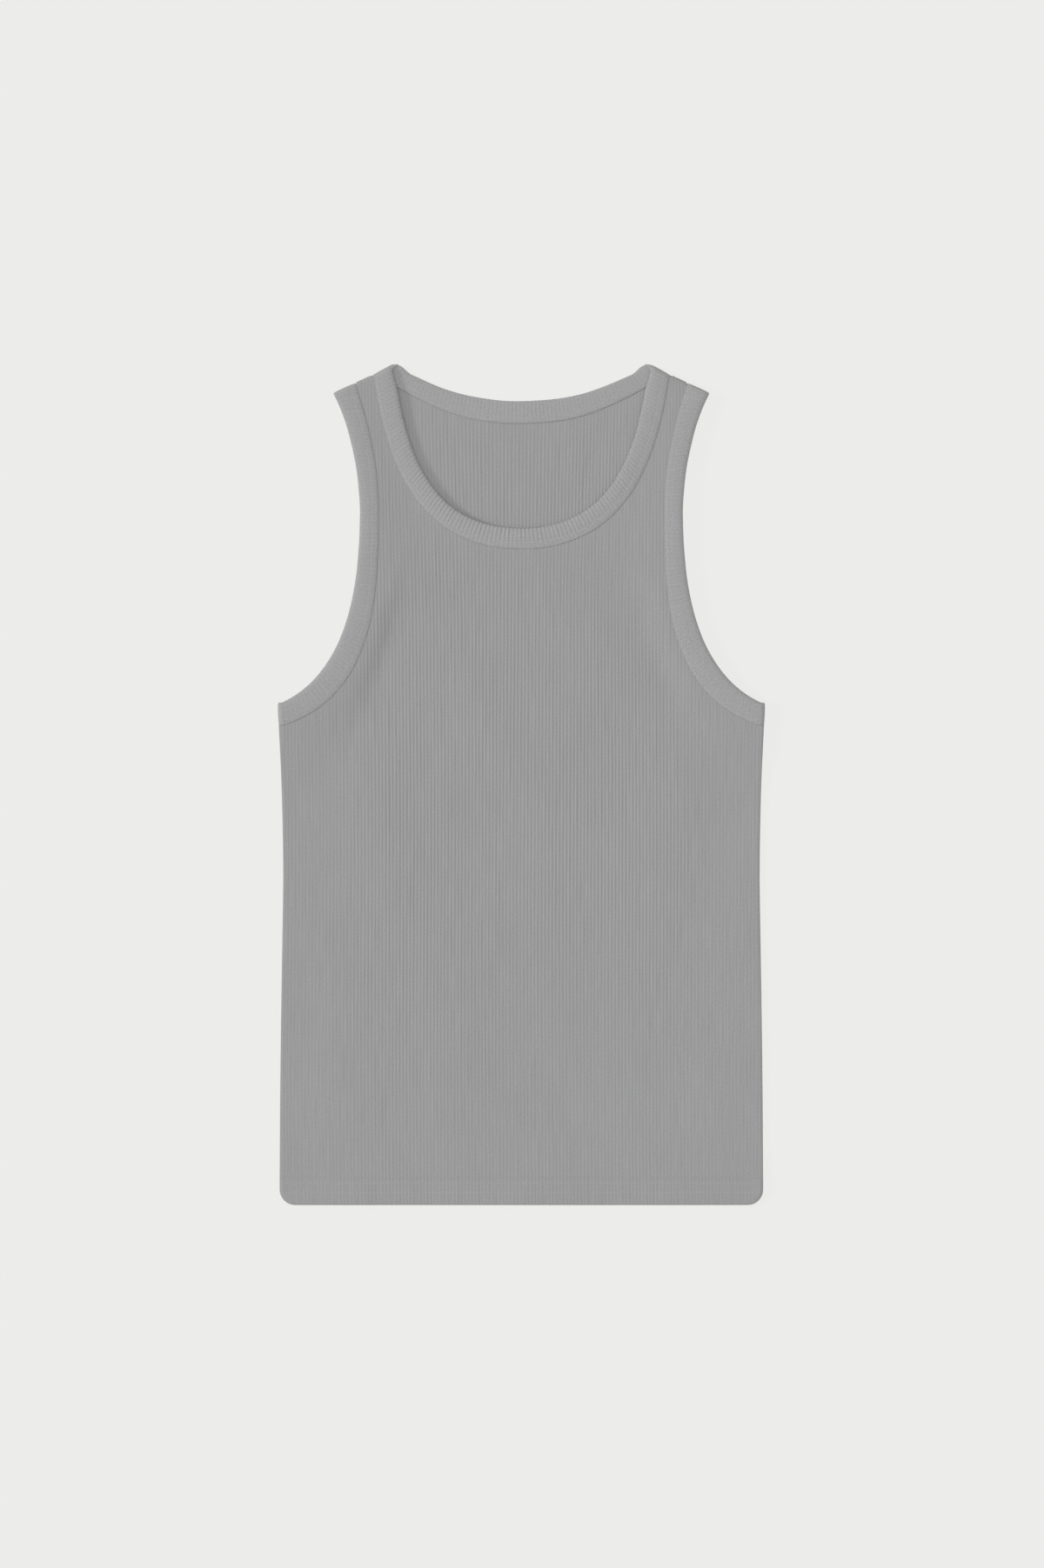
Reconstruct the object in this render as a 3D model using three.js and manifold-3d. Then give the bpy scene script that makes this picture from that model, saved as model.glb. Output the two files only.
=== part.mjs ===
// Ribbed cotton tank top laid flat on its back, front panel up.
// Millimetres, +Z up, +Y towards the shoulders. The origin is the middle of the garment's
// bounding rectangle, on the surface that it lies on.
import * as THREE from 'three';
import Module from 'manifold-3d';

const wasm = await Module();
wasm.setup();

// Cloth
const WALL = 1.0; // one layer of knit
const GAP = 0.3; // between pieces that touch in the garment
const RIB_HEIGHT = 0.4;
const RIB_PITCH = 2.9; // upright ribs of the panels
const BINDING_RIB_PITCH = 3.4; // the binding's ribs run across it

// Garment outline, half of it: y is measured from mid length
const HEM_Y = -349.2;
const HEM_HALF_WIDTH = 201.3;
const WAIST_HALF_WIDTH = 198.4;
const CHEST_HALF_WIDTH = 202.8;
const WAIST_Y = -85;
const HEM_CORNER_RADIUS = 13;
const HEM_DEPTH = 22; // turned up inside each panel
const HEM_SLOPE = 12; // over this length the front panel comes down from the doubled hem
const HEM_EASE = 2; // the slope starts this far above the hem

// Heights of the stack where both panels are bound, from the floor up
const BACK_SLOT = WALL + GAP; // inside of the back binding's lower leg
const MIDDLE = BACK_SLOT + 2 * (WALL + GAP) - GAP / 2; // between the two bindings
const FRONT_SLOT = MIDDLE + GAP / 2 + WALL + GAP;
const FRONT_TOP = FRONT_SLOT + 2 * WALL + RIB_HEIGHT + GAP;

// Curves as cubic Beziers, in order from the shoulder. Each binding is ruled between its
// folded edge and the seam that ends its two legs.
const NECK_FRONT = {
  edge: [{ x: 105.2, y: 346.1 }, { x: 96.2, y: 272.9 }, { x: 73.5, y: 214.1 }, { x: 0, y: 214.1 }],
  seam: [{ x: 121.5, y: 338.65 }, { x: 111.1, y: 262.9 }, { x: 82.9, y: 197.3 }, { x: 0, y: 197.3 }],
};
const NECK_BACK = {
  edge: [{ x: 105.2, y: 346.1 }, { x: 84, y: 342 }, { x: 62, y: 319.7 }, { x: 0, y: 319.7 }],
  seam: [{ x: 121.5, y: 338.65 }, { x: 88, y: 328 }, { x: 66, y: 301.6 }, { x: 0, y: 301.6 }],
};
const ARMHOLE_UPPER = {
  edge: [{ x: 155.2, y: 323.2 }, { x: 143.1, y: 299.7 }, { x: 134.4, y: 260.2 }, { x: 134.4, y: 225 }],
  seam: [{ x: 138.2, y: 331 }, { x: 124.4, y: 289.3 }, { x: 119.8, y: 260.4 }, { x: 119.8, y: 225 }],
};
const ARMHOLE_LOWER = {
  edge: [{ x: 134.4, y: 225 }, { x: 134.4, y: 162.9 }, { x: 145.4, y: 94.4 }, { x: 199.3, y: 68.4 }],
  seam: [{ x: 119.8, y: 225 }, { x: 119.8, y: 166 }, { x: 119.5, y: 75 }, { x: 198.6, y: 50.2 }],
};

// Where each panel has risen to the height of its bound edge, at half widths x
const RISE = [
  { x: 0, front: 191, back: 296 },
  { x: 45, front: 196, back: 299 },
  { x: 75, front: 206, back: 296 },
  { x: 90, front: 200, back: 278 },
  { x: 105, front: 183, back: 225 },
  { x: 116, front: 152, back: 152 },
  { x: 130, front: 110, back: 110 },
  { x: 154, front: 69, back: 69 },
  { x: 180, front: 50, back: 50 },
  { x: 210, front: 38, back: 38 },
];
const RISE_RUN = 45; // length of the slope up to a bound edge
const RISE_STEPS = [
  { run: 1, lift: 0 },
  { run: 0.66, lift: 0.25 },
  { run: 0.33, lift: 0.75 },
  { run: 0, lift: 1 },
];

// Panels inside their bindings and at their side and shoulder seams
const PANEL_INSET = 2; // from a binding's fold to the panel's cut edge
const SIDE_SEAM_START = 197; // half width where the two panels close up
const SIDE_SEAM_FULL = 199;
const SIDE_ROUND = 1.8; // the outer corner along the side is taken off over this width
const SIDE_DROP = 0.6;
const SLOT_END = 196; // half width at which a panel stops inside the underarm binding
const PANEL_REACH_X = 206;
const PANEL_REACH_Y = 356;
const NECK_RIB_REACH = 110; // the back panel's ribs show inside the neck as far as this
const NECK_RIB_START = 192;
const RIB_FADE = 6;
const PLAIN_LINES = 3; // hem and body lines of the back panel, below the neck's ribs

// Seam allowance at a shoulder, rolled over the fold: reach is outwards from the fold's
// axis, rise is from the middle of the stack
const SHOULDER_ROLL = [
  { reach: -4, rise: GAP / 2 },
  { reach: 2.9, rise: GAP / 2 },
  { reach: 2.7, rise: 1.2 },
  { reach: 1.9, rise: 2.1 },
  { reach: 0.7, rise: 2.5 },
  { reach: -0.6, rise: 2.5 },
  { reach: -4, rise: 1.8 },
];
const ROLL_MARGIN = { neck: 1.6, arm: 0.8 }; // from the seams of the two bindings

// The folded strip in section. across 1 is at the seam, inset is a distance from the folded
// edge, and rise counts from the strip's outer or inner face, away from the stack's middle.
const FOLD_INSET = 1.3;
const EDGE_INSET = 0.2;
const FOLD_ROUND = 1.0;
const SECTION = [
  { name: 'outerEnd', across: 1, from: 'outer', rise: 0 },
  { name: 'outerFold', inset: FOLD_INSET, from: 'outer', rise: 0 },
  { name: 'foldHigh', inset: EDGE_INSET, from: 'outer', rise: -FOLD_ROUND },
  { name: 'foldLow', inset: EDGE_INSET, from: 'inner', rise: FOLD_ROUND },
  { name: 'innerFold', inset: FOLD_INSET, from: 'inner', rise: 0 },
  { name: 'innerEnd', across: 1, from: 'inner', rise: 0 },
  { name: 'slotEnd', across: 1, from: 'inner', rise: WALL },
  { name: 'slotInner', inset: FOLD_INSET, from: 'inner', rise: WALL },
  { name: 'slotOuter', inset: FOLD_INSET, from: 'outer', rise: -WALL },
  { name: 'slotOuterEnd', across: 1, from: 'outer', rise: -WALL },
];
// How the corners of the section move at the crest of a rib, on the face that shows
const CREST = {
  front: {
    outerEnd: { rise: RIB_HEIGHT },
    outerFold: { rise: RIB_HEIGHT },
    foldHigh: { inset: -EDGE_INSET },
  },
  back: {
    foldLow: { inset: -EDGE_INSET },
    innerFold: { rise: -RIB_HEIGHT },
    innerEnd: { rise: -RIB_HEIGHT },
  },
};
const OUTER = { front: FRONT_TOP - MIDDLE, back: MIDDLE }; // of each leg, from the middle
const BACK_RIB_REACH = 0.4; // ribs show on this part of the back neck, either side of its middle

// Straight steps along each curve
const STEPS = {
  neckFront: 34,
  neckBack: 24,
  armhole: 26,
  fold: 6,
  hemCorner: 6,
  panelSide: 16,
  panelArmhole: 40,
  panelNeck: 72,
};

const GREY = { panel: 0x9d9d9d, binding: 0xa3a3a3 };
const CLOTH_ROUGHNESS = 0.95;
const MERGE = 0.004; // points of a cut panel closer than this become one

const vector = ({ x, y }) => new THREE.Vector2(x, y);
const bezier = (points) => new THREE.CubicBezierCurve(...points.map(vector));
const lerp = THREE.MathUtils.lerp;

// Collects vertices and triangles of one closed shell.
class Shell {
  constructor() {
    this.positions = [];
    this.indices = [];
  }

  vertex(x, y, z) {
    this.positions.push(x, y, z);
    return this.positions.length / 3 - 1;
  }

  // A row is a list of {at, x, y, z}, ordered by at.
  row(points) {
    return points.map(({ at, x, y, z }) => ({ at, id: this.vertex(x, y, z) }));
  }

  triangle(a, b, c) {
    this.indices.push(a.id, b.id, c.id);
  }

  // Fills the strip between two rows that may hold different numbers of points.
  zip(lower, upper) {
    let i = 0;
    let j = 0;
    while (i < lower.length - 1 || j < upper.length - 1) {
      const nextLower = i < lower.length - 1 ? lower[i + 1].at : Infinity;
      const nextUpper = j < upper.length - 1 ? upper[j + 1].at : Infinity;
      if (nextLower <= nextUpper) {
        this.triangle(lower[i], lower[i + 1], upper[j]);
        i += 1;
      } else {
        this.triangle(lower[i], upper[j + 1], upper[j]);
        j += 1;
      }
    }
  }

  geometry() {
    const geometry = new THREE.BufferGeometry();
    geometry.setAttribute('position', new THREE.Float32BufferAttribute(this.positions, 3));
    geometry.setIndex(this.indices);
    return geometry;
  }
}

function toSolid(geometry) {
  return new wasm.Manifold(new wasm.Mesh({
    numProp: 3,
    vertProperties: new Float32Array(geometry.attributes.position.array),
    triVerts: new Uint32Array(geometry.index.array),
  }));
}

function toGeometry(solid) {
  const mesh = solid.getMesh();
  const geometry = new THREE.BufferGeometry();
  geometry.setAttribute('position', new THREE.BufferAttribute(new Float32Array(mesh.vertProperties), 3));
  geometry.setIndex(new THREE.BufferAttribute(new Uint32Array(mesh.triVerts), 1));
  return geometry;
}

// A prism over a polygon that runs anticlockwise, between two heights given for each corner.
function prism(bottom, top) {
  const shell = new Shell();
  const low = shell.row(bottom.map((p, at) => ({ at, x: p.x, y: p.y, z: p.z })));
  const high = shell.row(top.map((p, at) => ({ at, x: p.x, y: p.y, z: p.z })));
  const count = low.length;
  for (let i = 0; i < count; i += 1) {
    const next = (i + 1) % count;
    shell.triangle(low[i], low[next], high[next]);
    shell.triangle(low[i], high[next], high[i]);
  }
  const outline = bottom.map((p) => new THREE.Vector2(p.u ?? p.x, p.v ?? p.y));
  for (const [a, b, c] of THREE.ShapeUtils.triangulateShape(outline, [])) {
    shell.triangle(low[a], low[c], low[b]);
    shell.triangle(high[a], high[b], high[c]);
  }
  return shell.geometry();
}

// Bindings

// Edge and seam as functions of t, from the shoulder at 0 to the far end at 1.
function ruling(parts) {
  const curves = parts.map((part) => ({ edge: bezier(part.edge), seam: bezier(part.seam) }));
  const pick = (t) => {
    const scaled = t * curves.length;
    const index = Math.min(Math.floor(scaled), curves.length - 1);
    return { curve: curves[index], local: scaled - index };
  };
  return {
    edge(t) {
      const { curve, local } = pick(t);
      return curve.edge.getPoint(local);
    },
    seam(t) {
      const { curve, local } = pick(t);
      return curve.seam.getPoint(local);
    },
  };
}

// Joins a half to its mirror image: it runs from the left end at 0 to the right end at 1.
function mirrored(half) {
  const point = (curve) => (t) => {
    const p = half[curve](1 - Math.abs(2 * t - 1));
    return new THREE.Vector2(t < 0.5 ? -p.x : p.x, p.y);
  };
  return { edge: point('edge'), seam: point('seam') };
}

function flipped(rule) {
  return { edge: (t) => rule.edge(1 - t), seam: (t) => rule.seam(1 - t) };
}

// Values of t at equal distances along a ruling's edge.
function evenSteps(rule, count) {
  const SAMPLES = 400;
  const lengths = [0];
  let last = rule.edge(0);
  for (let i = 1; i <= SAMPLES; i += 1) {
    const point = rule.edge(i / SAMPLES);
    lengths.push(lengths[i - 1] + point.distanceTo(last));
    last = point;
  }
  const total = lengths[SAMPLES];
  const steps = [];
  let i = 1;
  for (let n = 0; n <= count; n += 1) {
    const target = (total * n) / count;
    while (i < SAMPLES && lengths[i] < target) {
      i += 1;
    }
    const part = (target - lengths[i - 1]) / (lengths[i] - lengths[i - 1]);
    steps.push((i - 1 + part) / SAMPLES);
  }
  steps[count] = 1;
  return { steps, total };
}

// Where a corner of the section lies on a ruling line, and its distance from the middle.
function sectionPoint(corner, edge, seam, outer, crest) {
  const inset = (corner.inset ?? 0) + (crest?.inset ?? 0);
  const across = corner.across ?? inset / edge.distanceTo(seam);
  const face = corner.from === 'outer' ? outer : GAP / 2;
  return { plan: edge.clone().lerp(seam, across), rise: face + corner.rise + (crest?.rise ?? 0) };
}

// One corner's points along a stretch of binding.
function stretchPoints(side, corner, start) {
  const crests = side.ribs ? CREST[side.face][corner.name] : undefined;
  const { steps } = evenSteps(side.rule, crests ? side.ribs * 2 : side.steps);
  const sign = side.face === 'front' ? 1 : -1;
  return steps.map((t, n) => {
    const shows = Math.abs(t - 0.5) < (side.ribReach ?? 1);
    const crest = n % 2 === 1 && shows ? crests : undefined;
    const edge = side.rule.edge(t);
    const seam = side.rule.seam(t);
    const { plan, rise } = sectionPoint(corner, edge, seam, OUTER[side.face], crest);
    return { at: start + t, x: plan.x, y: plan.y, z: MIDDLE + sign * rise };
  });
}

// One corner's points over the fold that ends a stretch, on to the other face.
function foldPoints(side, corner, start) {
  const edge = side.rule.edge(1);
  const seam = side.rule.seam(1);
  const normal = outwardNormal(edge, seam);
  const other = side.face === 'front' ? 'back' : 'front';
  const sign = side.face === 'front' ? 1 : -1;
  const points = [];
  for (let turn = 1; turn < STEPS.fold; turn += 1) {
    const part = turn / STEPS.fold;
    const angle = part * Math.PI;
    const outer = lerp(OUTER[side.face], OUTER[other], part);
    const { plan, rise } = sectionPoint(corner, edge, seam, outer);
    plan.addScaledVector(normal, rise * Math.sin(angle));
    points.push({ at: start + part, x: plan.x, y: plan.y, z: MIDDLE + sign * rise * Math.cos(angle) });
  }
  return points;
}

// One ring of binding: along the front, over a fold, along the back, and over the other fold.
function bindingRing(sides) {
  const shell = new Shell();
  const rows = SECTION.map((corner) => {
    const points = sides.flatMap((side, index) => [
      ...stretchPoints(side, corner, index * 2),
      ...foldPoints(side, corner, index * 2 + 1),
    ]);
    const row = shell.row(points);
    row.push({ at: sides.length * 2, id: row[0].id });
    return row;
  });
  rows.forEach((row, index) => shell.zip(row, rows[(index + 1) % rows.length]));
  return shell.geometry();
}

// Away from the garment, square to the ruling line of a fold.
function outwardNormal(edge, seam) {
  const along = seam.clone().sub(edge).normalize();
  const normal = new THREE.Vector2(-along.y, along.x);
  const outwards = edge.clone().add(seam);
  if (normal.dot(outwards) < 0) {
    normal.negate();
  }
  return normal;
}

function ribCount(rule) {
  return Math.round(evenSteps(rule, 1).total / BINDING_RIB_PITCH);
}

const neckFront = mirrored(ruling([NECK_FRONT]));
const neckBack = mirrored(ruling([NECK_BACK]));
const armhole = ruling([ARMHOLE_UPPER, ARMHOLE_LOWER]);

function neckBinding() {
  return bindingRing([
    { face: 'front', rule: neckFront, steps: STEPS.neckFront, ribs: ribCount(neckFront) },
    {
      face: 'back',
      rule: flipped(neckBack),
      steps: STEPS.neckBack,
      ribs: ribCount(neckBack),
      ribReach: BACK_RIB_REACH,
    },
  ]);
}

function armholeBinding() {
  return bindingRing([
    { face: 'front', rule: armhole, steps: STEPS.armhole, ribs: ribCount(armhole) },
    { face: 'back', rule: flipped(armhole), steps: STEPS.armhole },
  ]);
}

function mirrorX(geometry) {
  const copy = geometry.clone();
  const position = copy.attributes.position;
  for (let i = 0; i < position.count; i += 1) {
    position.setX(i, -position.getX(i));
  }
  return reversed(copy);
}

function reversed(geometry) {
  const index = geometry.index.array;
  for (let i = 0; i < index.length; i += 3) {
    [index[i], index[i + 1]] = [index[i + 1], index[i]];
  }
  return geometry;
}

// Panels

function riseLine(x, face) {
  const half = Math.abs(x);
  const next = RISE.findIndex((row) => row.x >= half);
  if (next <= 0) {
    return RISE[0][face];
  }
  const a = RISE[next - 1];
  const b = RISE[next];
  return lerp(a[face], b[face], (half - a.x) / (b.x - a.x));
}

// Lines across a panel, from the hem to beyond the shoulders: where each one runs, and the
// heights of the panel's lower and upper face on it.
function panelLines(face) {
  const isFront = face === 'front';
  const base = isFront ? WALL + GAP : 0;
  const slot = isFront ? FRONT_SLOT : BACK_SLOT;
  const doubled = isFront ? { low: base + WALL, high: base + 3 * WALL } : { low: 0, high: 2 * WALL };
  const bandTop = HEM_Y + HEM_DEPTH + (isFront ? HEM_EASE : 0);
  const slopeTop = isFront ? bandTop + HEM_SLOPE : bandTop + HEM_EASE;
  const lines = [
    { y: () => HEM_Y - 1, ...doubled },
    { y: () => bandTop, ...doubled },
    { y: () => slopeTop, low: base, high: base + WALL },
  ];
  for (const { run, lift } of RISE_STEPS) {
    const low = lerp(base, slot, lift);
    lines.push({ y: (x) => riseLine(x, face) - run * RISE_RUN, low, high: low + WALL });
  }
  lines.push({ y: () => PANEL_REACH_Y, low: slot, high: slot + WALL });
  return lines;
}

// Columns of a plain face: the bends of the rise, and the side seam.
const bends = RISE.map((row) => row.x).filter((x) => x < SIDE_SEAM_START);
const plainHalf = [...bends, SIDE_SEAM_START, SIDE_SEAM_FULL, CHEST_HALF_WIDTH, PANEL_REACH_X];
const plainColumns = [...plainHalf.slice(1).reverse().map((x) => -x), ...plainHalf];

// Columns at each crest and valley of the ribs, out to a half width.
function ribColumns(reach) {
  const count = Math.floor((reach * 2) / RIB_PITCH);
  const columns = [];
  for (let i = -count; i <= count; i += 1) {
    columns.push({ x: (i * RIB_PITCH) / 2, crest: i % 2 === 0 });
  }
  return columns;
}

// The face that a panel turns to the other one. seam gives, for each line, the height at
// which the two panels close up along the side.
function facingRow(line, height, seam) {
  return plainColumns.map((x) => (
    { at: x, x, y: line.y(x), z: Math.abs(x) >= SIDE_SEAM_FULL ? seam : height }));
}

function frontTopRow(line) {
  const points = ribColumns(PANEL_REACH_X - RIB_PITCH / 2).map(({ x, crest }) => {
    const drop = Math.abs(x) > CHEST_HALF_WIDTH - SIDE_ROUND ? SIDE_DROP : 0;
    return { at: x, x, y: line.y(x), z: line.high + (crest ? RIB_HEIGHT : 0) - drop };
  });
  const end = (x) => ({ at: x, x, y: line.y(x), z: line.high - SIDE_DROP });
  return [end(-PANEL_REACH_X), ...points, end(PANEL_REACH_X)];
}

// Inside the neck the back panel's upper face is ribbed too.
function backTopRow(line, seam) {
  const plain = facingRow(line, line.high, seam);
  if (line.ribs === undefined) {
    return plain;
  }
  const ribbed = ribColumns(NECK_RIB_REACH).map(({ x, crest }) => (
    { at: x, x, y: line.y(x), z: line.high + (crest ? line.ribs : 0) }));
  const last = ribbed[ribbed.length - 1].x;
  return [...plain.filter((p) => p.x < -last), ...ribbed, ...plain.filter((p) => p.x > last)];
}

// The lines of the back panel's upper face, with the ones that start and end its ribs: they
// begin under the front panel and stop short of the neck binding's seam.
function backTopLines(lines) {
  const plain = lines.slice(0, PLAIN_LINES);
  const rising = lines.slice(PLAIN_LINES, -1);
  const last = lines[lines.length - 1];
  const startY = (x) => Math.min(NECK_RIB_START, rising[0].y(x) - RIB_FADE);
  return [
    ...plain,
    { ...rising[0], y: startY, ribs: 0 },
    ...rising.map((line) => ({ ...line, ribs: RIB_HEIGHT })),
    { ...last, y: (x) => neckSeamHeight(x) - 3 * GAP, ribs: RIB_HEIGHT },
    { ...last, y: (x) => neckSeamHeight(x) - GAP, ribs: 0 },
    last,
  ];
}

// A panel before it is cut to its outline.
function panelSlab(face) {
  const front = panelLines('front');
  const back = panelLines('back');
  const shell = new Shell();
  const seamOf = (line) => line.seam + (face === 'front' ? GAP / 2 : -GAP / 2);
  const withSeam = (lines) => lines.map((line, i) => ({ ...line, seam: (front[i].low + back[i].high) / 2 }));
  const lines = withSeam(face === 'front' ? front : back);
  let bottom;
  let top;
  if (face === 'front') {
    bottom = lines.map((line) => shell.row(facingRow(line, line.low, seamOf(line))));
    top = lines.map((line) => shell.row(frontTopRow(line)));
  } else {
    bottom = lines.map((line) => shell.row(facingRow(line, line.low, line.low)));
    top = backTopLines(lines).map((line) => shell.row(backTopRow(line, seamOf(line))));
  }
  closeSlab(shell, bottom, top);
  return shell.geometry();
}

// Height of the back neck binding's seam above the origin at a given x.
function neckSeamHeight(x) {
  const half = Math.abs(x);
  let low = 0.5;
  let high = 1;
  for (let halving = 0; halving < 30; halving += 1) {
    const t = (low + high) / 2;
    if (neckBack.seam(t).x < half) {
      low = t;
    } else {
      high = t;
    }
  }
  return neckBack.seam(low).y;
}

// Joins the lower and upper rows of a slab, and closes its four sides.
function closeSlab(shell, bottom, top) {
  for (let i = 1; i < top.length; i += 1) {
    shell.zip(top[i - 1], top[i]);
  }
  for (let i = 1; i < bottom.length; i += 1) {
    shell.zip(bottom[i], bottom[i - 1]);
  }
  shell.zip(bottom[0], top[0]);
  shell.zip(top[top.length - 1], bottom[bottom.length - 1]);
  const end = (rows, pick) => rows.map((row, i) => ({ at: i / (rows.length - 1), id: pick(row).id }));
  const first = (row) => row[0];
  const last = (row) => row[row.length - 1];
  shell.zip(end(top, first), end(bottom, first));
  shell.zip(end(bottom, last), end(top, last));
}

function insetPoint(rule, t) {
  const edge = rule.edge(t);
  const seam = rule.seam(t);
  return edge.lerp(seam, PANEL_INSET / edge.distanceTo(seam));
}

// The panel's cut outline, anticlockwise, from the right half: hem, side, armhole, neck.
function panelOutline(neck) {
  const corner = new THREE.EllipseCurve(
    HEM_HALF_WIDTH - HEM_CORNER_RADIUS, HEM_Y + HEM_CORNER_RADIUS,
    HEM_CORNER_RADIUS, HEM_CORNER_RADIUS, -Math.PI / 2, 0,
  );
  const sideTop = armhole.seam(1).y - 2 * GAP;
  const side = new THREE.SplineCurve([
    new THREE.Vector2(HEM_HALF_WIDTH, HEM_Y + HEM_CORNER_RADIUS),
    new THREE.Vector2((HEM_HALF_WIDTH + WAIST_HALF_WIDTH) / 2, (HEM_Y + WAIST_Y) / 2),
    new THREE.Vector2(WAIST_HALF_WIDTH, WAIST_Y),
    new THREE.Vector2(CHEST_HALF_WIDTH, sideTop),
  ]);
  const underarmToShoulder = evenSteps(armhole, STEPS.panelArmhole).steps.reverse();
  const shoulderToMiddle = evenSteps(neck, STEPS.panelNeck).steps.filter((t) => t >= 0.5).reverse();
  const right = [
    ...corner.getPoints(STEPS.hemCorner),
    ...side.getPoints(STEPS.panelSide).slice(1),
    new THREE.Vector2(SLOT_END, sideTop),
    ...underarmToShoulder.map((t) => insetPoint(armhole, t)).filter((p) => p.x < SLOT_END),
    ...shoulderToMiddle.map((t) => insetPoint(neck, t)),
  ];
  const left = right.filter((p) => p.x > GAP).reverse().map((p) => new THREE.Vector2(-p.x, p.y));
  return [...right, ...left];
}

function shoulderSeam(face, mirror) {
  const neck = neckFront.seam(1);
  const arm = armhole.seam(0);
  const along = arm.clone().sub(neck).normalize();
  const normal = outwardNormal(neck, arm);
  const start = neck.clone().addScaledVector(along, ROLL_MARGIN.neck);
  const stop = arm.clone().addScaledVector(along, -ROLL_MARGIN.arm);
  const sign = face === 'front' ? 1 : -1;
  const ring = (origin) => SHOULDER_ROLL.map(({ reach, rise }) => {
    const p = origin.clone().addScaledVector(normal, reach);
    return { x: p.x, y: p.y, z: MIDDLE + sign * rise, u: reach, v: rise };
  });
  const rolled = prism(ring(start), ring(stop));
  const right = face === 'front' ? rolled : reversed(rolled);
  return mirror ? mirrorX(right) : right;
}

function panel(face) {
  const outline = panelOutline(face === 'front' ? neckFront : neckBack);
  const cutter = prism(
    outline.map(({ x, y }) => ({ x, y, z: -WALL })),
    outline.map(({ x, y }) => ({ x, y, z: FRONT_TOP + WALL })),
  );
  let solid = toSolid(panelSlab(face)).intersect(toSolid(cutter));
  for (const mirror of [false, true]) {
    solid = solid.add(toSolid(shoulderSeam(face, mirror)));
  }
  return toGeometry(solid.asOriginal().simplify(MERGE));
}

function piece(name, geometry, color) {
  const mesh = new THREE.Mesh(geometry, new THREE.MeshStandardMaterial({
    color, roughness: CLOTH_ROUGHNESS, metalness: 0,
  }));
  mesh.name = name;
  return mesh;
}

const tankTop = new THREE.Group();
tankTop.add(
  piece('back_panel', panel('back'), GREY.panel),
  piece('front_panel', panel('front'), GREY.panel),
  piece('neck_binding', neckBinding(), GREY.binding),
  piece('right_armhole_binding', armholeBinding(), GREY.binding),
  piece('left_armhole_binding', mirrorX(armholeBinding()), GREY.binding),
);

export default tankTop;
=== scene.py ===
"""A ribbed cotton tank top laid flat on a pale floor, front up, seen straight from above."""

from functools import cache
import math

import bmesh
import bpy
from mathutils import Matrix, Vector, noise
from mathutils.kdtree import KDTree


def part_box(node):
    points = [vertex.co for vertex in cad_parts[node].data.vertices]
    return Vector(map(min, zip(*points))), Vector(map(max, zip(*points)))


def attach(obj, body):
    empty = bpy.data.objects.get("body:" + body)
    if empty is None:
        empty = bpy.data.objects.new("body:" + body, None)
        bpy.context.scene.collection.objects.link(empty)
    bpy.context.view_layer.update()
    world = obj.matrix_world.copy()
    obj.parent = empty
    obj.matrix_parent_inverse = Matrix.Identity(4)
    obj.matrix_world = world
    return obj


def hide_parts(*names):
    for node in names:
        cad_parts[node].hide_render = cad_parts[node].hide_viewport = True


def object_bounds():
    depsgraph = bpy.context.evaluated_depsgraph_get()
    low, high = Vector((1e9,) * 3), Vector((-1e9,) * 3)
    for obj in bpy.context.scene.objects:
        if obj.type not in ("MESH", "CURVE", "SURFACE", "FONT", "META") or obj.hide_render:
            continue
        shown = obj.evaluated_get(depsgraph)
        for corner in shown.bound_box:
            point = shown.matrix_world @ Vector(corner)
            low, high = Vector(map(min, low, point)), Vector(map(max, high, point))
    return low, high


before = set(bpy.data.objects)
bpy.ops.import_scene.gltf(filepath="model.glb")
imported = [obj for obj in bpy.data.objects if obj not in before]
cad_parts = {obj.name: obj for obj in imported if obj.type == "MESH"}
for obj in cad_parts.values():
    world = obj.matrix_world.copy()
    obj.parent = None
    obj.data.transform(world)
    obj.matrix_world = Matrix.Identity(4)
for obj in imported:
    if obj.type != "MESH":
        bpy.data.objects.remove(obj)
cad_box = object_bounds()
garment_low, garment_high = cad_box


# Back panel. One piece of grey cotton rib knit, its ribs upright, lying on its outer face. The
# hem is turned up inside it, its neck and armhole edges go into the bindings, and its shoulder
# and side edges are sewn to the front panel.
KNIT = 0.0010
AIR = 0.0003
RIB_PITCH = 0.0029
RIB_HEIGHT = 0.00036
STEPS_PER_RIB = 6

# The cloth reaches a little below the solid's hem, and is a little narrower at the chest.
HEM_LOWER = 0.0008
CHEST_NARROWER = 0.0010
HEM_Y = garment_low[1] - HEM_LOWER
HEM_HALF_WIDTH = 0.2013
WAIST_HALF_WIDTH = 0.1984
CHEST_HALF_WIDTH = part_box("back_panel")[1][0] - CHEST_NARROWER
WAIST_Y = -0.085
HEM_CORNER = 0.013
HEM_DEPTH = 0.022

# Heights of the stack where both panels are bound.
BACK_SLOT = KNIT + AIR
MIDDLE = BACK_SLOT + 2 * (KNIT + AIR) - AIR / 2
FRONT_SLOT = MIDDLE + AIR / 2 + KNIT + AIR

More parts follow.
